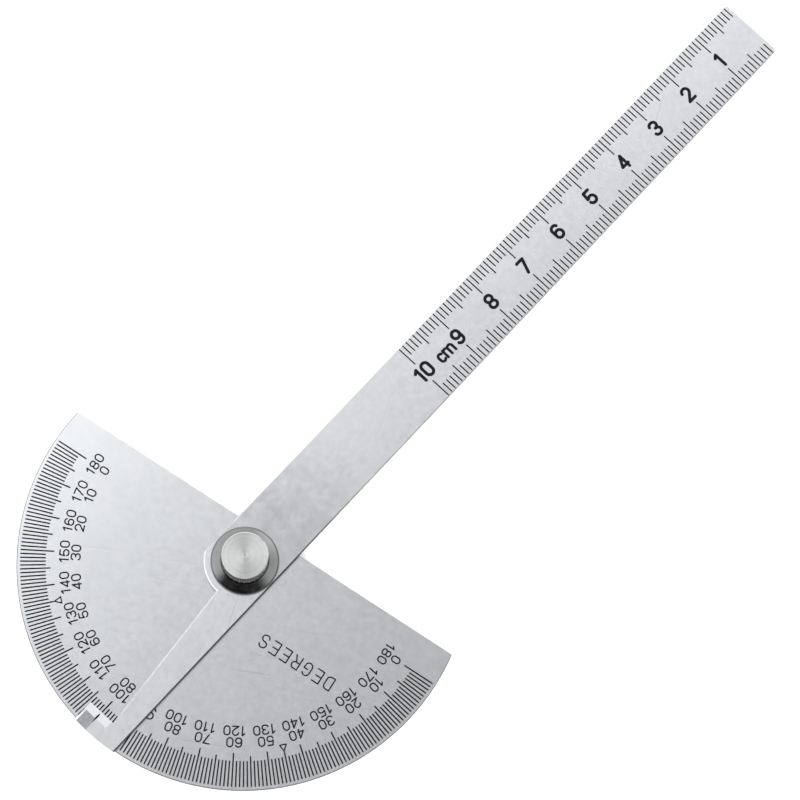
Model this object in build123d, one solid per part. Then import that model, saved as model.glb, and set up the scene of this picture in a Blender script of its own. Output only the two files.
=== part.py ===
"""Swing-blade protractor: a semicircular degree plate, a blade that is both pointer and
10 cm rule, and a thumb nut that clamps the blade at any angle.

Frame: origin on the pivot axis, on the rear face of the clamp stud's head. +Z runs up the
pivot towards the thumb nut, +Y points to the 90 degree mark and +X to the 180 degree end of
the outer scale. Sizes are in millimetres and angles in degrees.
"""
from build123d import *
from math import asin, atan2, cos, degrees, hypot, pi, radians, sin, sqrt
import os

# Degree plate
plate_radius = 44.6
plate_edge_drop = 6.9            # pivot down to the straight edge
plate_thickness = 1.0

# Blade, in its own frame: u runs from the pivot to the zero end, v is to its left
blade_reach = 152.0              # pivot to the zero end of the rule
blade_width = 14.0
blade_corner_radius = 0.7        # at the rule's zero end
blade_thickness = 1.0
blade_rest_reading = 100.0       # outer scale value under the index mark at rest
hub_overhang = 1.1               # rounded shoulder beyond the blade's edge, at the pivot
foot_proud = 0.3                 # index foot beyond the degree plate's rim
foot_depth = 4.55                # outer curve to the reading edge
foot_overhang = 2.9              # foot beyond the blade's centre line
pointer_waist = 3.05             # centre line to the pointer's reading edge, at the foot

# Reading edge of the foot
index_bevel_run = 1.65
index_bevel_drop = 0.55
index_facet_drop = 0.15
index_facet_start = 0.25
index_bevel_margin = 0.3         # plain strip left beside the pointer's edge
index_end_bevel = 0.35           # width and drop of the bevel along the foot's end

# Edges of the sheets
pointer_bevel = 0.3              # polished bevel along the pointer's reading side and the hub's shoulder
sheet_bevel = 0.12               # broken top edges of both sheets
touching = 0.001                 # edges and points nearer than this meet

# Pivot hardware
stud_head_radius = 4.5
stud_head_thickness = 0.8
stud_neck_margin = 0.1           # square neck, keyed in the plate, wider than the shoulder
stud_shoulder_radius = 2.5
stud_thread_radius = 2.0
stud_tip_stickout = 5.2          # thread standing above the nut washer
thread_pitch = 0.7
thread_depth = 0.3
pivot_washer_radius = 6.4
pivot_washer_thickness = 0.2
nut_washer_radius = 5.2
nut_washer_thickness = 0.4
neck_clearance = 0.03
running_clearance = 0.05
washer_clearance = 0.1
shoulder_drop = 0.1              # shoulder and neck end below the faces they pass through
plain_edge = 0.15                # small broken edges on turned parts

# Thumb nut
flange_radius = 6.75
flange_rim_height = 0.45
flange_cone_height = 1.1
grip_radius = 4.55
grip_height = 6.9
grip_chamfer = 0.25
knurl_count = 32
knurl_depth = 0.26
nut_roof = 2.4                   # solid metal above the blind thread
nut_face_border = 0.5
nut_face_recess = 0.1
nut_dimple_radius = 0.4
nut_lift_gap = 0.1               # nut rim above the blade while clamped

# Engraving and its black filling
engraving_depth = 0.1
filling_recess = 0.02
degree_tick_width = 0.29
rule_tick_width = 0.27

# Degree scale
degree_margin = 0.7              # plate's rim to the marks
degree_lengths = {10: 6.55, 5: 5.9, 1: 5.0}
degree_span = 180
outer_row_gap = 2.0              # inner end of the long marks to the middle of each row
inner_row_gap = 4.25
top_numeral_gap = 2.65
numeral_size = (1.15, 1.72)      # width and height of the centre lines
top_numeral_size = (1.45, 2.3)
numeral_stroke = 0.29
numeral_pitch = 1.68
top_numeral_pitch = 2.05
slim_trim = 0.3                  # a figure 1 takes less room than the others
marker_angles = (45, 135)
marker_gap = 0.15                # inner end of the marks of 5 to the triangles' tips
marker_size = 1.3
marker_stroke = 0.26

# Unit word on the degree plate
title = "DEGREES"
title_start = (-28.1, 11.0)
title_size = (1.45, 2.6)
title_pitch = 2.5
title_stroke = 0.28

# Rule
rule_length = 100
rule_inner_ends = {10: 2.35, 5: 3.2, 1: 4.25}
rule_margin = 0.22               # blade edge to the start of a mark
rule_numeral_size = (1.62, 2.85)
rule_numeral_stroke = 0.66
rule_numeral_pitch = 2.3
unit_letter_size = (1.12, 1.7)
unit_letter_stroke = 0.58
unit_letter_offset = 5.75        # middle of the unit, past the ten mark
unit_letter_pitch = 2.15
index_mark_length = 2.4
index_mark_width = 0.42
index_mark_end = 0.45            # reading edge to the near end of the mark
index_mark_widest = 0.8          # near end of the mark to its widest place

# Heights of the stacked faces
plate_bottom = stud_head_thickness
plate_top = plate_bottom + plate_thickness
blade_bottom = plate_top + pivot_washer_thickness
blade_top = blade_bottom + blade_thickness
nut_bottom = blade_top + nut_lift_gap
nut_seat = blade_top + nut_washer_thickness
stud_tip = nut_seat + stud_tip_stickout
flange_top = nut_bottom + flange_rim_height + flange_cone_height
nut_top = flange_top + grip_height

# Sizes and places worked out from those above
hub_radius = blade_width / 2 + hub_overhang
foot_radius = plate_radius + foot_proud
stud_neck_side = 2 * (stud_shoulder_radius + stud_neck_margin)
neck_hole_side = stud_neck_side + 2 * neck_clearance
degree_outer_radius = plate_radius - degree_margin
degree_inner_radius = degree_outer_radius - degree_lengths[10]
marker_radius = degree_outer_radius - degree_lengths[5] - marker_gap - marker_size / 2
reading_edge = foot_depth - foot_radius
hub_start = pi - asin(blade_width / 2 / hub_radius)
hub_middle = (hub_start + pi) / 2


# ---------------------------------------------------------------- characters
# Shapes as shares of a character's half width r or half height b, and angles in degrees
one_stem = 0.35
one_flag = (0.8, 0.65)           # run and drop of the flag
two_start = 170
three_curl = 75
four_stem = 0.6
five_cap = (0.75, 0.85)          # reach of the cap to the left and right
five_neck = 0.35                 # neck's foot below the bowl's top
five_curls = (50, 75)
bowl_share = 0.58                # bowls of 5 and 6
six_curl = 30
seven_foot = 0.4
eight_top = 0.94
c_opening = 35
letter_bar = 0.7
s_end = 15


def line(x1, y1, x2, y2):
    return Line((x1, y1), (x2, y2))


def arc(x, y, radius, start, sweep):
    return CenterArc((x, y), radius, start, sweep)


def ring(half_width, bottom, top):
    """A closed upright ring with round ends as wide as the ring, or as high if that is less."""
    r = min(half_width, (top - bottom) / 2)
    x = half_width - r
    corners = [arc(x, top - r, r, 0, 90), arc(-x, top - r, r, 90, 90),
               arc(-x, bottom + r, r, 180, 90), arc(x, bottom + r, r, 270, 90)]
    if x > 0:
        return corners + [line(-x, y, x, y) for y in (bottom, top)]
    return corners + [line(side * r, bottom + r, side * r, top - r) for side in (-1, 1)]


def figure_two(r, b):
    """A bowl that runs into a tangent down to the left corner, and a foot."""
    reach = hypot(r, 2 * b - r)
    rise = degrees(atan2(2 * b - r, r) - asin(r / reach))
    tangent = rise - 90
    x = r * cos(radians(tangent))
    y = b - r + r * sin(radians(tangent))
    return [arc(0, b - r, r, two_start, tangent - two_start), line(x, y, -r, -b), line(-r, -b, r, -b)]


def figure_three(r, b):
    q = b / 2
    x = r - q
    half = [line(-x, b, x, b), arc(x, q, q, 90, -180), arc(-x, q, q, 90, three_curl)]
    lower = [edge.mirror(Plane.XZ) for edge in half]
    return half + lower + [line(0, 0, x, 0)]


def figure_five(r, b):
    p = bowl_share * b
    x = r - p
    middle = 2 * p - b
    left = -five_cap[0] * r
    return [line(five_cap[1] * r, b, left, b), line(left, b, -r, middle - five_neck * p),
            arc(-x, p - b, p, 90, five_curls[0]), line(-x, middle, x, middle),
            arc(x, p - b, p, 90, -180), line(-x, -b, x, -b), arc(-x, p - b, p, 270, -five_curls[1])]


def figure_six(r, b):
    p = bowl_share * b
    hook = arc(0, b - r, r, six_curl, 180 - six_curl)
    return [*ring(r, -b, 2 * p - b), line(-r, p - b, -r, b - r), hook]


def figure_eight(r, b):
    return ring(eight_top * r, 0, b) + ring(r, -b, 0)


def letter_m(r, b):
    stems = [line(-2 * r, b, -2 * r, -b), line(0, b - r, 0, -b), line(2 * r, b - r, 2 * r, -b)]
    return stems + [arc(x, b - r, r, 0, 180) for x in (-r, r)]


def letter_s(r, b):
    half = [arc(r - b / 2, b / 2, b / 2, s_end, 90 - s_end), line(r - b / 2, b, b / 2 - r, b),
            arc(b / 2 - r, b / 2, b / 2, 90, 180)]
    return half + [edge.rotate(Axis.Z, 180) for edge in half] + [line(b / 2 - r, 0, r - b / 2, 0)]


def centre_lines(character, size):
    """Centre lines of one character, centred on the origin."""
    r = size[0] / 2
    b = size[1] / 2
    upright = line(-r, b, -r, -b)
    if character == "0":
        return ring(r, -b, b)
    if character == "1":
        x = one_stem * r
        return [line(x, b, x, -b), line(x, b, x - one_flag[0] * r, b - one_flag[1] * r)]
    if character == "2":
        return figure_two(r, b)
    if character == "3":
        return figure_three(r, b)
    if character == "4":
        x = four_stem * r
        return [line(x, b, x, -b), line(x, b, -r, -b / 2), line(-r, -b / 2, r, -b / 2)]
    if character == "5":
        return figure_five(r, b)
    if character == "6":
        return figure_six(r, b)
    if character == "7":
        return [line(-r, b, r, b), line(r, b, -seven_foot * r, -b)]
    if character == "8":
        return figure_eight(r, b)
    if character == "9":
        return [edge.rotate(Axis.Z, 180) for edge in figure_six(r, b)]
    if character == "c":
        turn = 180 - c_opening
        return [arc(0, b - r, r, c_opening, turn), line(-r, b - r, -r, r - b), arc(0, r - b, r, 180, turn)]
    if character == "m":
        return letter_m(r, b)
    if character == "D":
        return [upright, line(-r, b, 0, b), arc(0, b - r, r, 90, -90), line(r, b - r, r, r - b),
                arc(0, r - b, r, 0, -90), line(0, -b, -r, -b)]
    if character == "E":
        return [upright, line(-r, b, r, b), line(-r, 0, letter_bar * r, 0), line(-r, -b, r, -b)]
    if character == "G":
        top = arc(0, b - r, r, six_curl, 180 - six_curl)
        foot = arc(0, r - b, r, 180, 180)
        return [top, line(-r, b - r, -r, r - b), foot, line(r, r - b, r, 0), line(r, 0, 0, 0)]
    if character == "R":
        return [upright, line(-r, b, r - b / 2, b), arc(r - b / 2, b / 2, b / 2, 90, -180),
                line(r - b / 2, 0, -r, 0), line(0, 0, r, -b)]
    return letter_s(r, b)


def stroked(lines, stroke):
    """Flat outline of centre lines drawn with a round pen."""
    slots = [SlotArc(edge, stroke) for edge in lines]
    return slots[0].fuse(*slots[1:])


# ---------------------------------------------------------------- engraving
def cut_and_filling(outline):
    """Groove and filling under the plane z = 0, for a flat outline."""
    groove = extrude(outline, -engraving_depth)
    filling = Pos(0, 0, -filling_recess) * extrude(outline, filling_recess - engraving_depth)
    return groove, filling


def spread(places, pair):
    """A groove and its filling, copied to each place."""
    grooves = [place * pair[0] for place in places]
    fillings = [place * pair[1] for place in places]
    return grooves, fillings


def write(words, size, stroke, pitch):
    """Words as (place, text) pairs, each centred on its place and read along the place's x."""
    characters = set("".join(text for _, text in words))
    pairs = {c: cut_and_filling(stroked(centre_lines(c, size), stroke)) for c in characters}
    grooves = []
    fillings = []
    for place, text in words:
        advances = [pitch - (slim_trim if character == "1" else 0) for character in text]
        x = -sum(advances) / 2
        for character, advance in zip(text, advances):
            spot = place * Pos(x + advance / 2, 0, 0)
            grooves.append(spot * pairs[character][0])
            fillings.append(spot * pairs[character][1])
            x += advance
    return grooves, fillings


# ---------------------------------------------------------------- degree plate
def scale_direction(reading):
    """Angle from +X of a reading on the outer scale, which runs clockwise from -X."""
    return degree_span - reading


def on_scale(reading, radius, height=0.0):
    """A place on the scale whose x runs clockwise and whose y points outward."""
    return Pos(0, 0, height) * Rot(0, 0, scale_direction(reading) - 90) * Pos(0, radius, 0)


def longest_step(value, lengths):
    return next(step for step in sorted(lengths, reverse=True) if value % step == 0)


def degree_marks():
    grooves = []
    fillings = []
    for step, length in degree_lengths.items():
        readings = [a for a in range(degree_span + 1) if longest_step(a, degree_lengths) == step]
        middle = degree_outer_radius - length / 2
        pair = cut_and_filling(Rectangle(degree_tick_width, length))
        cuts, inlays = spread([on_scale(a, middle, plate_top) for a in readings], pair)
        grooves += cuts
        fillings += inlays
    return grooves, fillings


def degree_numerals(radius, reverse):
    tens = [a for a in range(0, degree_span + 1, 10) if a != degree_span // 2]
    words = [(on_scale(a, radius, plate_top), str(degree_span - a if reverse else a)) for a in tens]
    return write(words, numeral_size, numeral_stroke, numeral_pitch)


def top_numeral():
    middle = degree_span // 2
    place = on_scale(middle, degree_inner_radius - top_numeral_gap, plate_top)
    words = [(place, str(middle))]
    return write(words, top_numeral_size, numeral_stroke, top_numeral_pitch)


def angle_markers():
    """Small open triangles under the two diagonal marks, pointing outward."""
    corners = [(0, marker_size / 2), (-marker_size / 2, -marker_size / 2),
               (marker_size / 2, -marker_size / 2)]
    sides = [Line(corners[i - 1], corners[i]) for i in range(len(corners))]
    pair = cut_and_filling(stroked(sides, marker_stroke))
    return spread([on_scale(a, marker_radius, plate_top) for a in marker_angles], pair)


def title_word():
    length = title_pitch * len(title)
    place = Pos(title_start[0] + length / 2, title_start[1], plate_top)
    return write([(place, title)], title_size, title_stroke, title_pitch)


def plate_blank():
    disc = Circle(plate_radius)
    below = Pos(0, -plate_edge_drop - plate_radius) * Rectangle(4 * plate_radius, 2 * plate_radius)
    neck_hole = Rectangle(neck_hole_side, neck_hole_side)
    blank = Pos(0, 0, plate_bottom) * extrude(disc - below - neck_hole, plate_thickness)
    rim = blank.edges().filter_by(GeomType.CIRCLE).group_by(Axis.Z)[-1]
    return chamfer(rim, sheet_bevel)


# ---------------------------------------------------------------- blade
def blade_outline():
    """Blade seen from above: rule, hub shoulder, tapering pointer and index foot."""
    half = blade_width / 2
    hub_u = -sqrt(hub_radius**2 - half**2)
    hub_bend = (hub_radius * cos(hub_middle), hub_radius * sin(hub_middle))
    foot_u = -sqrt(foot_radius**2 - half**2)
    tip_u = -sqrt(foot_radius**2 - foot_overhang**2)
    edge = [
        Line((foot_u, -half), (blade_reach, -half)),
        Line((blade_reach, -half), (blade_reach, half)),
        Line((blade_reach, half), (hub_u, half)),
        ThreePointArc((hub_u, half), hub_bend, (-hub_radius, 0)),
        Line((-hub_radius, 0), (reading_edge, -pointer_waist)),
        Line((reading_edge, -pointer_waist), (reading_edge, foot_overhang)),
        Line((reading_edge, foot_overhang), (tip_u, foot_overhang)),
        ThreePointArc((tip_u, foot_overhang), (-foot_radius, 0), (foot_u, -half)),
    ]
    outline = make_face(edge)
    zero_end_corners = outline.vertices().group_by(Axis.X)[-1]
    return fillet(zero_end_corners, blade_corner_radius)


def reading_bevel():
    """Wedge that thins the foot down to the reading edge."""
    inner = reading_edge - index_bevel_run
    section = Polyline((inner, 0), (reading_edge, -index_bevel_drop),
                       (reading_edge, blade_thickness), (inner, blade_thickness), close=True)
    start = index_bevel_margin - pointer_waist
    wedge = extrude(make_face(Plane.XZ * section), -(foot_overhang + blade_thickness - start))
    return Pos(0, start, blade_top) * wedge


def tip_facet():
    """Shallow slope on the foot's outer part, from the index mark to the bevel along its end."""
    bend = foot_overhang - index_end_bevel
    end = foot_overhang + blade_thickness
    end_drop = index_facet_drop + end - bend
    section = Polyline((index_facet_start, 0), (bend, -index_facet_drop), (end, -end_drop),
                       (end, blade_thickness), (index_facet_start, blade_thickness), close=True)
    slab = extrude(make_face(Plane.YZ * section), foot_depth)
    return Pos(reading_edge - index_bevel_run - foot_depth, 0, blade_top) * slab


def top_edges(blank):
    return blank.faces().sort_by(Axis.Z)[-1].edges()


def blade_blank():
    blank = Pos(0, 0, blade_bottom) * extrude(blade_outline(), blade_thickness)
    shoulder_end = Vertex(-hub_radius, 0, blade_top)
    reading_side = [e for e in top_edges(blank) if e.distance_to(shoulder_end) < touching]
    blank = chamfer(reading_side, pointer_bevel)
    long_edges = [e for e in top_edges(blank) if e.length > foot_depth * 2]
    rule_sides = [e for e in long_edges if abs(e.tangent_at(0).Y) < touching]
    blank = chamfer(rule_sides, sheet_bevel)
    pivot_hole = Pos(0, 0, blade_bottom + blade_thickness / 2) * Cylinder(
        stud_shoulder_radius + running_clearance, 2 * blade_thickness)
    return blank - pivot_hole - reading_bevel() - tip_facet()


def rule_marks():
    grooves = []
    fillings = []
    outer = blade_width / 2 - rule_margin
    for step, inner in rule_inner_ends.items():
        pair = cut_and_filling(Rectangle(rule_tick_width, outer - inner))
        values = [k for k in range(1, rule_length + 1) if longest_step(k, rule_inner_ends) == step]
        places = [Pos(blade_reach - k, side * (outer + inner) / 2, blade_top)
                  for k in values for side in (-1, 1)]
        cuts, inlays = spread(places, pair)
        grooves += cuts
        fillings += inlays
    return grooves, fillings


def rule_numerals():
    tens = range(10, rule_length + 1, 10)
    words = [(Pos(blade_reach - k, 0, blade_top), str(k // 10)) for k in tens]
    return write(words, rule_numeral_size, rule_numeral_stroke, rule_numeral_pitch)


def rule_unit():
    drop = (unit_letter_size[1] + unit_letter_stroke - rule_numeral_size[1] - rule_numeral_stroke) / 2
    place = Pos(blade_reach - rule_length + unit_letter_offset, drop, blade_top)
    return write([(place, "cm")], unit_letter_size, unit_letter_stroke, unit_letter_pitch)


def index_mark(blank):
    """Pointed mark on the foot, engraved to an even depth below its sloping top."""
    near = reading_edge - index_mark_end
    half = index_mark_width / 2
    widest = near - index_mark_widest
    outline = make_face(Polyline((near - index_mark_length, 0), (widest, -half), (near, -half / 2),
                                 (near, half / 2), (widest, half), close=True))
    prism = Pos(0, 0, blade_bottom) * extrude(outline, blade_thickness)
    groove = prism & (blank - Pos(0, 0, -engraving_depth) * blank)
    filling = groove & (Pos(0, 0, -filling_recess) * blank)
    return groove, filling


# ---------------------------------------------------------------- pivot hardware
def turned(points):
    """A solid of revolution about Z, from (radius, height) points."""
    return revolve(make_face(Plane.XZ * Polyline(*points, close=True)), Axis.Z)


def washer(radius, hole_radius, bottom, thickness):
    return Pos(0, 0, bottom) * extrude(Circle(radius) - Circle(hole_radius), thickness)


def clamp_stud():
    """Low round head, square neck, plain shoulder that the blade turns on, and thread."""
    head = turned([(0, 0), (stud_head_radius - plain_edge, 0), (stud_head_radius, plain_edge),
                   (stud_head_radius, stud_head_thickness), (0, stud_head_thickness)])
    neck = Pos(0, 0, plate_bottom) * extrude(
        Rectangle(stud_neck_side, stud_neck_side), plate_thickness - shoulder_drop)
    shoulder_top = blade_top - shoulder_drop
    points = [(0, plate_bottom), (stud_shoulder_radius, plate_bottom),
              (stud_shoulder_radius, shoulder_top), (stud_thread_radius, shoulder_top)]
    turns = int((stud_tip - shoulder_top) / thread_pitch)
    for turn in range(turns):
        z = shoulder_top + turn * thread_pitch
        points += [(stud_thread_radius, z + thread_pitch / 4),
                   (stud_thread_radius - thread_depth, z + thread_pitch / 2),
                   (stud_thread_radius, z + thread_pitch * 3 / 4)]
    points += [(stud_thread_radius, stud_tip - thread_depth),
               (stud_thread_radius - thread_depth, stud_tip), (0, stud_tip)]
    return head + neck + turned(points)


def nut_body():
    """Flange, cone and grip with a blind bore, before the grip is knurled."""
    bore_radius = stud_thread_radius + running_clearance
    recess_radius = nut_washer_radius + washer_clearance
    face_radius = grip_radius - grip_chamfer - nut_face_border
    face = nut_top - nut_face_recess
    return turned([
        (bore_radius, nut_seat), (recess_radius, nut_seat), (recess_radius, nut_bottom),
        (flange_radius - plain_edge, nut_bottom), (flange_radius, nut_bottom + plain_edge),
        (flange_radius, nut_bottom + flange_rim_height - plain_edge),
        (flange_radius - plain_edge, nut_bottom + flange_rim_height),
        (grip_radius, flange_top), (grip_radius, nut_top - grip_chamfer),
        (grip_radius - grip_chamfer, nut_top), (face_radius + nut_face_recess, nut_top),
        (face_radius, face), (nut_dimple_radius, face), (0, face - nut_dimple_radius),
        (0, nut_top - nut_roof), (bore_radius, nut_top - nut_roof)])


def knurl_envelope():
    """Everything up to the cone's top, and a toothed prism above it."""
    tooth = 180 / knurl_count
    radii = [grip_radius, grip_radius - knurl_depth]
    corners = [(radii[k % 2] * cos(radians(k * tooth)), radii[k % 2] * sin(radians(k * tooth)))
               for k in range(2 * knurl_count)]
    teeth = Pos(0, 0, flange_top) * extrude(make_face(Polyline(*corners, close=True)), grip_height)
    base_height = flange_top - blade_top
    base = Pos(0, 0, blade_top + base_height / 2) * Cylinder(2 * flange_radius, base_height)
    return base + teeth


# ---------------------------------------------------------------- assembly
def save(name, *solids):
    export_step(Compound(children=list(solids), label=name), f"parts/{name}.step")


def save_plate():
    fillings = {
        "degree_marks": degree_marks(),
        "outer_numerals": degree_numerals(degree_inner_radius - outer_row_gap, False),
        "inner_numerals": degree_numerals(degree_inner_radius - inner_row_gap, True),
        "top_numeral": top_numeral(),
        "angle_markers": angle_markers(),
        "title_word": title_word(),
    }
    grooves = [groove for cuts, _ in fillings.values() for groove in cuts]
    save("degree_plate", plate_blank() - grooves)
    for name, (_, inlays) in fillings.items():
        save(name, *inlays)


def save_blade():
    blank = blade_blank()
    marks = {
        "rule_marks": rule_marks(),
        "rule_numerals": rule_numerals(),
        "rule_unit": rule_unit(),
    }
    index_groove, index_filling = index_mark(blank)
    turn = Rot(0, 0, scale_direction(blade_rest_reading) + 180)
    grooves = [groove for cuts, _ in marks.values() for groove in cuts]
    save("blade", turn * (blank - index_groove - grooves))
    save("index_mark", turn * index_filling)
    for name, (_, inlays) in marks.items():
        save(name, *[turn * inlay for inlay in inlays])


def save_hardware():
    save("clamp_stud", clamp_stud())
    save("pivot_washer", washer(pivot_washer_radius, stud_shoulder_radius + washer_clearance,
                                plate_top, pivot_washer_thickness))
    save("nut_washer", washer(nut_washer_radius, stud_thread_radius + washer_clearance,
                              blade_top, nut_washer_thickness))
    save("thumb_nut", nut_body() & knurl_envelope())


os.makedirs("parts", exist_ok=True)
save_plate()
save_blade()
save_hardware()
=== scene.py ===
"""Looks of the protractor: satin steel sheets, black filled engraving and a nickelled thumb nut."""

from math import cos, pi, radians, sin

import bpy
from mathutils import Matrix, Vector


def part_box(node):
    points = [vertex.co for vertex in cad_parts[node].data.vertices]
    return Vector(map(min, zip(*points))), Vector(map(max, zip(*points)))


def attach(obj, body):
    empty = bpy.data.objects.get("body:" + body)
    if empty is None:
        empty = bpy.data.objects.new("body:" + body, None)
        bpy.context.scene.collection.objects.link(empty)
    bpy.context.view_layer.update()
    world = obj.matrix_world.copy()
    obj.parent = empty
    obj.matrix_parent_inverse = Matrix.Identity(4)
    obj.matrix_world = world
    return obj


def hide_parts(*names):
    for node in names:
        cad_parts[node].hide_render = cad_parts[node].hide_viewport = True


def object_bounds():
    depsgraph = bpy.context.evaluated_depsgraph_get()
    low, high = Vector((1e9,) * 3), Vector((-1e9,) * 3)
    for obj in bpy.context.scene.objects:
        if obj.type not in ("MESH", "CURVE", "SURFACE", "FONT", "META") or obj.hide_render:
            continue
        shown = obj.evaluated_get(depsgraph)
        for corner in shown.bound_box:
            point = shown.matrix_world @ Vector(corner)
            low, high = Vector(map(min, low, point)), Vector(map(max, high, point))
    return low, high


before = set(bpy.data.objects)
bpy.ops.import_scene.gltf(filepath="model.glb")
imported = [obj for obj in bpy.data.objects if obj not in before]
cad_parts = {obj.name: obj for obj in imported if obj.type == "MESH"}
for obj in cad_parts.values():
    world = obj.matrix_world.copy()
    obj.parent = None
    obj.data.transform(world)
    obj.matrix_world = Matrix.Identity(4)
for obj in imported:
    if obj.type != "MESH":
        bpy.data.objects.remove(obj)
cad_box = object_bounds()

mm = 0.001

# ---------------------------------------------------------------- driving values
# Camera, in the row frame
camera_place = Vector((-35.934, 57.734, 525.976)) * mm
camera_turn = (radians(10.859), radians(-3.4431), radians(-147.2826))
camera_lens = 120.549              # on a sensor 36 mm wide
camera_sensor = 36.0

# Directions in the picture, flat on the table
picture_left = Vector((0.8413, 0.5405, 0.0))
picture_top = Vector((0.5405, -0.8413, 0.0))

# Studio light. Radiance seen in reflections; a (from, to) pair says over which part of a direction's height,
# or of its share along a side, the light fades in
roof_light = 0.71
roof_heights = (0.5, 0.8)
wall_light = 0.6
horizon_light = 0.95
horizon_heights = (0.35, 0.20)
right_share, left_share = 0.8, 1.2      # the tent's brightness at the picture's right and left
matt_light = 2.2                   # what matt surfaces get from every side
backdrop_light = 0.95              # what the camera sees behind the floor
softbox_side = picture_left + picture_top
softbox_light = 3.0
softbox_rise = (0.075, 0.56)
softbox_fall = (1.0, 0.75)
softbox_heights = (0.75, 0.9)
fill_direction = (picture_left * -0.42 + picture_top * 0.53 + Vector((0.0, 0.0, 0.73))).normalized()
fill_radius = 0.55
fill_light = 0.75
skirt_side = ((picture_left + picture_top) * -1.0).normalized()
skirt_range = (0.2, 0.5)
skirt_heights = (0.42, 0.28)
skirt_share = 0.75                 # of the tent's light
opening_side = (picture_left * 0.12 - picture_top).normalized()
opening_range = (0.24, 0.56)
opening_heights = (0.40, 0.52)
opening_share = 0.015              # of the tent's light

# Thumb nut, in millimetres; its height and flange come from the frame
grip_radius = 4.55
flange_rim_height = 0.45
flange_cone_height = 1.1
flange_foot = 0.1                  # chamfer under the rim
rim_step_out = 0.12                # between the cone's foot and the rim, and below it
rim_step_down = 0.08
cone_lift = 0.05                   # what the cone's foot stays above the rim's height
cone_sag = 0.015
cone_steps = 8
grip_chamfer = 0.18
face_border = 0.2
face_recess = 0.03
face_rings = 12
face_ring_depth = 0.008
dimple_radius = 0.22
dimple_depth = 0.01
bore_radius = 2.05
bore_roof = 2.4
bore_mouth_chamfer = 0.25
bore_point = 0.6                   # the drill's cone above the bore
recess_radius = 5.35               # round the washer, under the flange
recess_depth = 0.3
recess_chamfer = (0.1, 0.05)       # out and up
knurl_starts = 28
knurl_depth = 0.4
knurl_sharpness = 1.4
knurl_foot_gap = 0.02              # between the cone and the knurl
knurl_foot_fade = 0.04
knurl_head_fade = 0.15
knurl_pitch = 0.95                 # height of one diamond
knurl_margin = 0.12                # plain band left above the knurl
knurl_steps = 10                   # points across each diamond
nut_crease = radians(32.0)

# Sheets: face colours, and how upright a surface may be before it counts as a cut edge
plate_face = (0.55, 0.562, 0.582)
plate_edge_limit = 0.92
blade_face = (0.61, 0.616, 0.64)
blade_edge_limit = 0.5
blade_turn = radians(-100.0)       # from +X to the rule's zero end, at rest
half_blade = 7.0                   # half its width in millimetres
scratch_turn = radians(24.0)       # from the sheet's grain
face_contrast = 0.2                # how far its darkest and lightest tone are from the face colour
cloud_swing = 0.045                # share of that contrast's whole range in the large clouds
fine_swing = 0.03                  # and in each of the finer patterns

# Painted shade near the nut and a painted shadow line along the right-hand edge of the blade, in millimetres
# from the pivot
nut_shade_near, nut_shade_far = 9.0, 34.0
nut_shade_back, nut_shade_front = -4.0, 4.0
edge_shadow_line = (0.26, 0.16)           # where the painted shadow line starts and is full, from the right-hand edge
edge_shadow_near, edge_shadow_far = 10.0, 30.0
edge_shadow_full, edge_shadow_faint = 0.9, 0.3

# Painted shade on a patch of the index foot, in millimetres along and across the blade
patch_inner = -42.0
patch_side = 2.5
patch_soft = 0.05                  # half the width of its soft outline
patch_texture = 11.0               # radians in a millimetre

# Table top
floor_half = 1.5                   # metres
floor_gap = 0.02 * mm


# ---------------------------------------------------------------- node helpers
def new_material(name):
    material = bpy.data.materials.new(name)
    material.use_nodes = True
    material.node_tree.nodes.clear()
    return material


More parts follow.
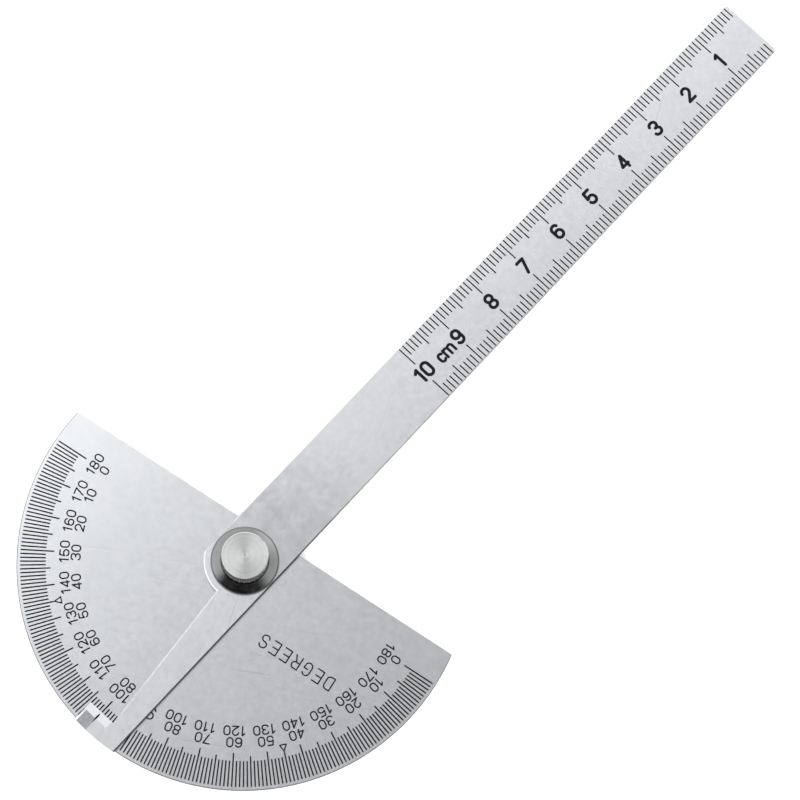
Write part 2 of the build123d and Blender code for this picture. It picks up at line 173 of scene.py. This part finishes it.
class Graph:
    """Short calls for building one node tree."""

    def __init__(self, tree):
        self.tree = tree

    def node(self, kind, inputs=None, **settings):
        made = self.tree.nodes.new(kind)
        for name, value in settings.items():
            setattr(made, name, value)
        for name, value in (inputs or {}).items():
            self.feed(made.inputs[name], value)
        return made

    def feed(self, socket, value):
        if isinstance(value, bpy.types.NodeSocket):
            self.tree.links.new(value, socket)
        else:
            socket.default_value = value

    def math(self, operation, a, b=0.0, clamp=False):
        made = self.node("ShaderNodeMath", {0: a, 1: b}, operation=operation, use_clamp=clamp)
        return made.outputs[0]

    def remap(self, value, low, high, to_low, to_high):
        sockets = {"Value": value, "From Min": low, "From Max": high, "To Min": to_low, "To Max": to_high}
        return self.node("ShaderNodeMapRange", sockets).outputs[0]

    def smooth(self, value, low, high, to_low=0.0, to_high=1.0):
        sockets = {"Value": value, "From Min": low, "From Max": high, "To Min": to_low, "To Max": to_high}
        return self.node("ShaderNodeMapRange", sockets, interpolation_type="SMOOTHSTEP").outputs[0]

    def mix(self, share, a, b):
        made = self.node("ShaderNodeMix", data_type="RGBA")
        self.feed(made.inputs[0], share)
        self.feed(made.inputs[6], a)
        self.feed(made.inputs[7], b)
        return made.outputs[2]

    def millimetres(self, turn=0.0, stretch=(1.0, 1.0, 1.0)):
        """Object coordinates in millimetres, turned about Z, then scaled along each axis."""
        place = self.node("ShaderNodeTexCoord").outputs["Object"]
        turned = self.node("ShaderNodeMapping", {"Vector": place, "Rotation": (0.0, 0.0, -turn)})
        scale = tuple(s / mm for s in stretch)
        made = self.node("ShaderNodeMapping", {"Vector": turned.outputs[0], "Scale": scale})
        return made.outputs[0]

    def noise(self, where, scale, detail=2.0, roughness=0.5):
        sockets = {"Vector": where, "Scale": scale, "Detail": detail, "Roughness": roughness}
        return self.node("ShaderNodeTexNoise", sockets).outputs[0]

    def bump(self, height, strength, distance, normal=None):
        made = self.node("ShaderNodeBump", {"Height": height, "Strength": strength, "Distance": distance})
        if normal is not None:
            self.feed(made.inputs["Normal"], normal)
        return made.outputs[0]

    def shader(self, **sockets):
        """Principled shader with its sockets given by name, words joined with underscores."""
        inputs = {name.replace("_", " "): value for name, value in sockets.items()}
        made = self.node("ShaderNodeBsdfPrincipled", inputs)
        self.node("ShaderNodeOutputMaterial", {"Surface": made.outputs[0]})


def colour(red, green, blue):
    return (red, green, blue, 1.0)


# ---------------------------------------------------------------- materials
def sheet_steel(name, base, turn, edge_limit, extras=None):
    """Satin rolled sheet: fine grain along turn, soft mottling, hairline scratches and near-black cut edges,
    partly duller sheared steel and partly painted shade.
    """
    material = new_material(name)
    g = Graph(material.node_tree)
    place = g.millimetres()
    along = g.millimetres(turn, (0.05, 1.0, 1.0))
    clouds = g.noise(place, 0.11, 3.0, 0.55)
    mottle = g.noise(place, 0.9, 4.0, 0.65)
    grain = g.noise(along, 6.0, 3.0, 0.6)
    grit = g.noise(place, 9.0, 2.0, 0.5)
    tone = g.math("ADD", g.remap(clouds, 0.3, 0.7, -cloud_swing, cloud_swing),
                  g.remap(mottle, 0.25, 0.75, -fine_swing, fine_swing))
    tone = g.math("ADD", tone, g.remap(grain, 0.2, 0.8, -fine_swing, fine_swing))
    tone = g.math("ADD", tone, g.remap(grit, 0.2, 0.8, -fine_swing, fine_swing))
    shade = g.math("ADD", tone, 0.5)
    darker = colour(*(c * (1.0 - face_contrast) for c in base))
    lighter = colour(*(min(1.0, c * (1.0 + face_contrast)) for c in base))
    face = g.mix(shade, darker, lighter)

    scratch_place = g.millimetres(turn + scratch_turn, (0.03, 1.6, 1.0))
    scratches = g.noise(scratch_place, 1.3, 1.0, 0.4)
    scratch = g.smooth(scratches, 0.71, 0.76)
    face = g.mix(g.math("MULTIPLY", scratch, 0.1), face, colour(0.86, 0.87, 0.88))

    # Cut edges: near-black colour, partly the duller sheared steel and partly painted shade along the sheets'
    # sides; they are also rougher.
    upright = g.node("ShaderNodeSeparateXYZ", {0: g.node("ShaderNodeTexCoord").outputs["Normal"]}).outputs[2]
    flatness = g.math("ABSOLUTE", upright)
    cut_edge = g.smooth(flatness, edge_limit, edge_limit - 0.2)
    streak = g.noise(g.millimetres(0.0, (3.0, 3.0, 0.6)), 1.0, 3.0, 0.6)
    dull_and_shaded_edge = g.mix(streak, colour(0.012, 0.012, 0.014), colour(0.06, 0.062, 0.066))
    face = g.mix(cut_edge, face, dull_and_shaded_edge)
    if extras:
        face = extras(g, face)

    rough = g.math("ADD", g.remap(mottle, 0.25, 0.75, 0.17, 0.24), g.remap(grit, 0.2, 0.8, -0.03, 0.03))
    rough = g.math("ADD", rough, g.math("MULTIPLY", cut_edge, 0.2))
    rough = g.math("SUBTRACT", rough, g.math("MULTIPLY", scratch, 0.1))
    normal = g.bump(grain, 0.1, 0.01 * mm)
    normal = g.bump(grit, 0.12, 0.012 * mm, normal)
    normal = g.bump(scratch, 0.25, -0.01 * mm, normal)
    g.shader(Base_Color=face, Metallic=1.0, Roughness=rough, Normal=normal)
    return material


def blade_painted_shade(g, face):
    """Painted shade near the nut, a painted shadow line along the right-hand edge, and painted shade on the
    foot's outer corner, which has a fine crossed texture."""
    place = g.millimetres(blade_turn)
    parts = g.node("ShaderNodeSeparateXYZ", {0: place})
    along, across = parts.outputs[0], parts.outputs[1]

    # Painted shade: the blade darker and blotchy near the nut on the rule's side, fading out with distance
    # from the pivot.
    distance = g.node("ShaderNodeVectorMath", {0: place}, operation="LENGTH").outputs["Value"]
    uneven = g.smooth(g.noise(place, 0.3, 2.0, 0.5), -0.1, 0.8)
    nut_shade = g.math("MULTIPLY", g.smooth(distance, nut_shade_far, nut_shade_near), uneven)
    nut_shade = g.math("MULTIPLY", nut_shade, g.smooth(along, nut_shade_back, nut_shade_front))
    face = g.mix(g.math("MULTIPLY", nut_shade, 0.5), face, colour(0.28, 0.29, 0.295))

    # Painted shadow: a dark line along the blade's right-hand edge, strong near the pivot and fainter further
    # out.
    shadow_start, shadow_full = (inset - half_blade for inset in edge_shadow_line)
    strength = g.smooth(along, edge_shadow_far, edge_shadow_near, edge_shadow_faint, edge_shadow_full)
    right_edge_shadow = g.math("MULTIPLY", g.smooth(across, shadow_start, shadow_full), strength)
    face = g.mix(right_edge_shadow, face, colour(0.03, 0.03, 0.032))

    # Painted shade: the foot's outer corner darker, standing in for a differently tilted facet, with mottling
    # and a fine crossed texture.
    inside = g.math("MULTIPLY", g.smooth(along, patch_inner + patch_soft, patch_inner - patch_soft),
                    g.smooth(across, patch_side + patch_soft, patch_side - patch_soft))
    inside = g.math("MULTIPLY", inside, g.smooth(across, -0.4, 0.5))
    weave = g.math("MULTIPLY", g.math("SINE", g.math("MULTIPLY", along, patch_texture)),
                   g.math("SINE", g.math("MULTIPLY", across, patch_texture)))
    patch_mottle = g.noise(place, 2.4, 3.0, 0.6)
    dark = g.math("ADD", g.remap(weave, -1.0, 1.0, -0.05, 0.05), g.remap(patch_mottle, 0.3, 0.7, 0.82, 0.95))
    return g.mix(g.math("MULTIPLY", inside, dark), face, colour(0.12, 0.125, 0.13))


def black_filling():
    """Baked black enamel with a slightly uneven, dusty surface."""
    material = new_material("black_filling")
    g = Graph(material.node_tree)
    place = g.millimetres()
    patches = g.noise(place, 2.2, 3.0, 0.6)
    grit = g.noise(place, 14.0, 2.0, 0.5)
    dust = g.math("MULTIPLY", g.smooth(patches, 0.45, 0.8), 0.5)
    paint = g.mix(dust, colour(0.003, 0.003, 0.0035), colour(0.016, 0.0165, 0.018))
    rough = g.remap(grit, 0.2, 0.8, 0.42, 0.6)
    normal = g.bump(grit, 0.3, 0.01 * mm)
    g.shader(Base_Color=paint, Roughness=rough, Normal=normal, Specular_IOR_Level=0.12)
    return material


def turned_rings(g, scale):
    """Height of lathe rings about the pivot axis."""
    place = g.millimetres(0.0, (1.0, 1.0, 0.0))
    radius = g.node("ShaderNodeVectorMath", {0: place}, operation="LENGTH").outputs["Value"]
    ring_place = g.node("ShaderNodeCombineXYZ", {0: radius}).outputs[0]
    return g.noise(ring_place, scale, 2.0, 0.6)


def nickel_plate(flange_edge, flange_top):
    """Bright nickel over turned brass: lathe rings, faint haze, tarnish spots, painted shade on the upright
    walls, deepest in the knurl, and in the corner at its foot, and a painted dark band round the rim. Sizes
    in millimetres."""
    material = new_material("nickel_plate")
    g = Graph(material.node_tree)
    place = g.millimetres()
    rings = turned_rings(g, 1.7)
    haze = g.noise(place, 0.8, 4.0, 0.6)
    grit = g.noise(place, 7.0, 2.0, 0.5)
    face = g.mix(haze, colour(0.47, 0.473, 0.475), colour(0.55, 0.555, 0.56))
    face = g.mix(g.remap(rings, 0.35, 0.65, 0.0, 0.35), face, colour(0.30, 0.302, 0.305))
    stain = g.math("MULTIPLY", g.smooth(grit, 0.58, 0.75), 0.25)
    face = g.mix(stain, face, colour(0.42, 0.41, 0.39))
    flat_place = g.millimetres(0.0, (1.0, 1.0, 0.0))
    radius = g.node("ShaderNodeVectorMath", {0: flat_place}, operation="LENGTH").outputs["Value"]
    upright = g.node("ShaderNodeSeparateXYZ", {0: g.node("ShaderNodeTexCoord").outputs["Normal"]}).outputs[2]
    # Painted shade: upright walls darkened, fully in the knurl's grooves and a fifth as much elsewhere, but
    # not in the bore.
    wall = g.smooth(g.math("ABSOLUTE", upright), 0.75, 0.6)
    in_groove = g.smooth(radius, grip_radius - 0.12 * knurl_depth, grip_radius - 0.5 * knurl_depth)
    outside_bore = g.smooth(radius, bore_radius + 0.3, bore_radius + 0.6)
    grip_wall_shade = g.math("MULTIPLY", wall, g.remap(in_groove, 0.0, 1.0, 0.2, 1.0))
    wall_and_groove_shade = g.math("MULTIPLY", grip_wall_shade, outside_bore)
    face = g.mix(g.math("MULTIPLY", wall_and_groove_shade, 0.93), face, colour(0.018, 0.018, 0.019))
    # Painted shade in the corner where the knurled grip meets the flange's cone.
    rise = g.node("ShaderNodeSeparateXYZ", {0: place}).outputs[2]
    corner = g.math("MULTIPLY", g.smooth(radius, grip_radius + 0.4, grip_radius + 0.1),
                    g.smooth(rise, flange_top + 0.2, flange_top + 0.05))
    corner = g.math("MULTIPLY", corner, outside_bore)
    face = g.mix(g.math("MULTIPLY", corner, 0.85), face, colour(0.03, 0.03, 0.031))
    # Painted shade: a dark band round the flange's outer edge.
    rim_shade = g.smooth(radius, flange_edge - 0.4, flange_edge - 0.08)
    face = g.mix(g.math("MULTIPLY", rim_shade, 0.7), face, colour(0.05, 0.05, 0.052))
    centre = g.smooth(radius, 0.28, 0.12)
    face = g.mix(g.math("MULTIPLY", centre, 0.5), face, colour(0.12, 0.12, 0.122))
    faced = g.smooth(g.math("ABSOLUTE", upright), 0.93, 0.98)
    rough = g.math("ADD", g.remap(haze, 0.3, 0.7, 0.12, 0.18), g.remap(rings, 0.3, 0.7, -0.02, 0.02))
    rough = g.math("ADD", rough, g.math("MULTIPLY", faced, 0.15))
    normal = g.bump(rings, 0.35, 0.02 * mm)
    normal = g.bump(grit, 0.08, 0.01 * mm, normal)
    tangent = g.node("ShaderNodeTangent", direction_type="RADIAL", axis="Z").outputs[0]
    g.shader(Base_Color=face, Metallic=1.0, Roughness=rough, Normal=normal,
             Anisotropic=0.9, Anisotropic_Rotation=0.125, Tangent=tangent)
    return material


def turned_steel(name, dark, light, ring_scale):
    """Plain machined steel with lathe rings and a film of oil."""
    material = new_material(name)
    g = Graph(material.node_tree)
    rings = turned_rings(g, ring_scale)
    film = g.noise(g.millimetres(), 0.7, 3.0, 0.6)
    face = g.mix(g.remap(film, 0.3, 0.7, 0.0, 1.0), dark, light)
    rough = g.math("ADD", g.remap(film, 0.3, 0.7, 0.26, 0.38), g.remap(rings, 0.3, 0.7, -0.04, 0.04))
    normal = g.bump(rings, 0.4, 0.02 * mm)
    g.shader(Base_Color=face, Metallic=1.0, Roughness=rough, Normal=normal)
    return material


def give(material, *nodes):
    for name in nodes:
        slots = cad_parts[name].data.materials
        slots.clear()
        slots.append(material)


# ---------------------------------------------------------------- thumb nut
def nut_profile(bottom, top, flange_radius):
    """Outline from the middle of the top face to the underside of the flange, as (radius, height) in mm, with
    the knurl's lowest and highest heights.
    """
    flange_top = bottom + flange_rim_height + flange_cone_height
    inner = grip_radius - face_border
    face = top - face_recess
    points = [(0.0, face - dimple_depth), (0.55 * dimple_radius, face - 0.8 * dimple_depth),
              (dimple_radius, face)]
    ring_width = (inner - dimple_radius) / face_rings
    for k in range(face_rings):
        start = dimple_radius + k * ring_width
        points.append((start + 0.5 * ring_width, face - face_ring_depth))
        points.append((start + ring_width, face))
    points += [(inner + face_recess, top), (grip_radius - grip_chamfer, top),
               (grip_radius, top - grip_chamfer)]
    low = flange_top + knurl_foot_gap
    high = top - grip_chamfer - knurl_margin
    rows = round((high - low) / knurl_pitch * knurl_steps)
    points += [(grip_radius, high - (high - low) * k / rows) for k in range(rows + 1)]
    for k in range(cone_steps + 1):
        share = k / cone_steps
        radius = grip_radius + (flange_radius - rim_step_out - grip_radius) * share
        sag = cone_sag * sin(pi * share)
        points.append((radius, flange_top - (flange_cone_height - cone_lift) * share - sag))
    points += [(flange_radius, bottom + flange_rim_height - rim_step_down),
               (flange_radius, bottom + flange_foot), (flange_radius - flange_foot, bottom)]
    return points, low, high


def knurl(turn, height, low, high):
    """Depth of the diamond knurl at an angle and a height."""
    if not low <= height <= high:
        return 0.0
    around = knurl_starts * turn / (2 * pi)
    up = (height - low) / knurl_pitch
    groove = max(abs(2 * ((around + side * up) % 1) - 1) for side in (-1, 1))
    fade = min(1.0, (height - low) / knurl_foot_fade, (high - height) / knurl_head_fade)
    return knurl_depth * fade * groove ** knurl_sharpness


def thumb_nut(material):
    """The nut as one closed surface, turned from its outline, with the knurl cut into the grip."""
    low_corner, high_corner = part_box("thumb_nut")
    bottom = low_corner.z / mm
    top = high_corner.z / mm
    flange_radius = (high_corner.y - low_corner.y) / 2 / mm
    outline, knurl_low, knurl_high = nut_profile(bottom, top, flange_radius)
    roof = top - bore_roof
    recess_height = bottom + recess_depth
    chamfer_out, chamfer_up = recess_chamfer
    outline += [(recess_radius + chamfer_out, bottom), (recess_radius, bottom + chamfer_up),
                (recess_radius, recess_height),
                (bore_radius + bore_mouth_chamfer, recess_height),
                (bore_radius, recess_height + bore_mouth_chamfer), (bore_radius, roof)]
    columns = knurl_starts * knurl_steps
    vertices = []
    for radius, height in outline[1:]:
        for k in range(columns):
            turn = 2 * pi * k / columns
            r = radius
            if abs(radius - grip_radius) < 1e-6:
                r -= knurl(turn, height, knurl_low, knurl_high)
            vertices.append((r * mm * cos(turn), r * mm * sin(turn), height * mm))
    faces = []
    rows = len(outline) - 1
    for row in range(rows - 1):
        for k in range(columns):
            a = row * columns + k
            b = row * columns + (k + 1) % columns
            faces.append((a, a + columns, b + columns, b))
    middle = len(vertices)
    vertices.append((0.0, 0.0, outline[0][1] * mm))
    vertices.append((0.0, 0.0, (roof + bore_point) * mm))
    last = (rows - 1) * columns
    for k in range(columns):
        following = (k + 1) % columns
        faces.append((middle, k, following))
        faces.append((last + following, last + k, middle + 1))
    mesh = bpy.data.meshes.new("knurled_nut")
    mesh.from_pydata(vertices, [], faces)
    mesh.validate()
    mesh.shade_smooth()
    mesh.set_sharp_from_angle(angle=nut_crease)
    mesh.materials.append(material)
    nut = bpy.data.objects.new("knurled_nut", mesh)
    bpy.context.scene.collection.objects.link(nut)
    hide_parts("thumb_nut")
    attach(nut, "nut")


# ---------------------------------------------------------------- stage
def floor():
    """A wide pale table top just under the instrument."""
    z = cad_box[0][2] - floor_gap
    corners = [(-floor_half, -floor_half, z), (floor_half, -floor_half, z),
               (floor_half, floor_half, z), (-floor_half, floor_half, z)]
    mesh = bpy.data.meshes.new("floor")
    mesh.from_pydata(corners, [], [(0, 1, 2, 3)])
    material = new_material("floor")
    g = Graph(material.node_tree)
    paper = g.noise(g.millimetres(), 0.02, 3.0, 0.5)
    shade = g.mix(paper, colour(0.93, 0.93, 0.93), colour(0.96, 0.96, 0.96))
    g.shader(Base_Color=shade, Roughness=0.9)
    mesh.materials.append(material)
    plane = bpy.data.objects.new("floor", mesh)
    bpy.context.scene.collection.objects.link(plane)


def camera():
    data = bpy.data.cameras.new("camera")
    data.lens = camera_lens
    data.sensor_width = camera_sensor
    data.clip_start = 0.01
    data.clip_end = 20.0
    view = bpy.data.objects.new("camera", data)
    view.location = camera_place
    view.rotation_euler = camera_turn
    bpy.context.scene.collection.objects.link(view)
    bpy.context.scene.camera = view


def studio():
    """Soft white tent. Reflections see it brighter at the horizon, towards the picture's left and in a
    softbox above its upper left, and dark over the picture's foot, where the operator stands. Matt surfaces
    are lit evenly from all sides."""
    world = bpy.data.worlds.new("studio")
    bpy.context.scene.world = world
    world.use_nodes = True
    world.node_tree.nodes.clear()
    g = Graph(world.node_tree)
    direction = g.node("ShaderNodeTexCoord").outputs["Generated"]

    def along(axis):
        made = g.node("ShaderNodeVectorMath", {0: direction, 1: tuple(axis)}, operation="DOT_PRODUCT")
        return made.outputs["Value"]

    height = along((0.0, 0.0, 1.0))
    overhead = g.smooth(height, *roof_heights, wall_light, roof_light)
    horizon = g.smooth(height, *horizon_heights, 0.0, horizon_light)
    level = g.math("ADD", overhead, horizon)
    sideways = g.remap(along(picture_left), -1.0, 1.0, right_share, left_share)
    tent = g.math("MULTIPLY", level, sideways)
    opening = g.math("MULTIPLY", g.smooth(along(opening_side), *opening_range),
                     g.smooth(height, *opening_heights))
    tent = g.math("MULTIPLY", tent, g.remap(opening, 0.0, 1.0, 1.0, opening_share))
    skirt = g.math("MULTIPLY", g.smooth(along(skirt_side), *skirt_range), g.smooth(height, *skirt_heights))
    tent = g.math("MULTIPLY", tent, g.remap(skirt, 0.0, 1.0, 1.0, skirt_share))
    across = along(softbox_side)
    softbox = g.math("MULTIPLY", g.smooth(across, *softbox_rise), g.smooth(across, *softbox_fall))
    softbox = g.math("MULTIPLY", softbox, g.smooth(height, *softbox_heights))
    tent = g.math("ADD", tent, g.math("MULTIPLY", softbox, softbox_light))
    from_fill = g.node("ShaderNodeVectorMath", {0: direction, 1: tuple(fill_direction)}, operation="DISTANCE")
    fill = g.smooth(from_fill.outputs["Value"], fill_radius, 0.0, 0.0, fill_light)
    tent = g.math("ADD", tent, fill)
    path = g.node("ShaderNodeLightPath")
    lit = g.node("ShaderNodeMix", {0: path.outputs["Is Diffuse Ray"], 2: tent, 3: matt_light},
                 data_type="FLOAT").outputs[0]
    strength = g.node("ShaderNodeMix", {0: path.outputs["Is Camera Ray"], 2: lit, 3: backdrop_light},
                      data_type="FLOAT").outputs[0]
    background = g.node("ShaderNodeBackground", {"Color": colour(1.0, 1.0, 1.0), "Strength": strength})
    g.node("ShaderNodeOutputWorld", {"Surface": background.outputs[0]})
    world.cycles.sampling_method = "NONE"


# ---------------------------------------------------------------- assembly
camera()
studio()
floor()

filling = black_filling()
give(sheet_steel("plate_steel", plate_face, 0.0, plate_edge_limit), "degree_plate")
give(sheet_steel("blade_steel", blade_face, blade_turn, blade_edge_limit, blade_painted_shade), "blade")
give(filling, "degree_marks", "outer_numerals", "inner_numerals", "top_numeral", "angle_markers",
     "title_word", "rule_marks", "rule_numerals", "rule_unit", "index_mark")
give(turned_steel("stud_steel", colour(0.40, 0.40, 0.40), colour(0.58, 0.58, 0.57), 4.0), "clamp_stud")
give(turned_steel("washer_steel", colour(0.50, 0.50, 0.49), colour(0.66, 0.66, 0.65), 1.5),
     "pivot_washer", "nut_washer")
nut_low, nut_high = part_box("thumb_nut")
flange_edge = (nut_high.y - nut_low.y) / 2 / mm
flange_top = nut_low.z / mm + flange_rim_height + flange_cone_height
nickel = nickel_plate(flange_edge, flange_top)
give(nickel, "thumb_nut")
thumb_nut(nickel)

bpy.context.scene.view_settings.view_transform = "Standard"
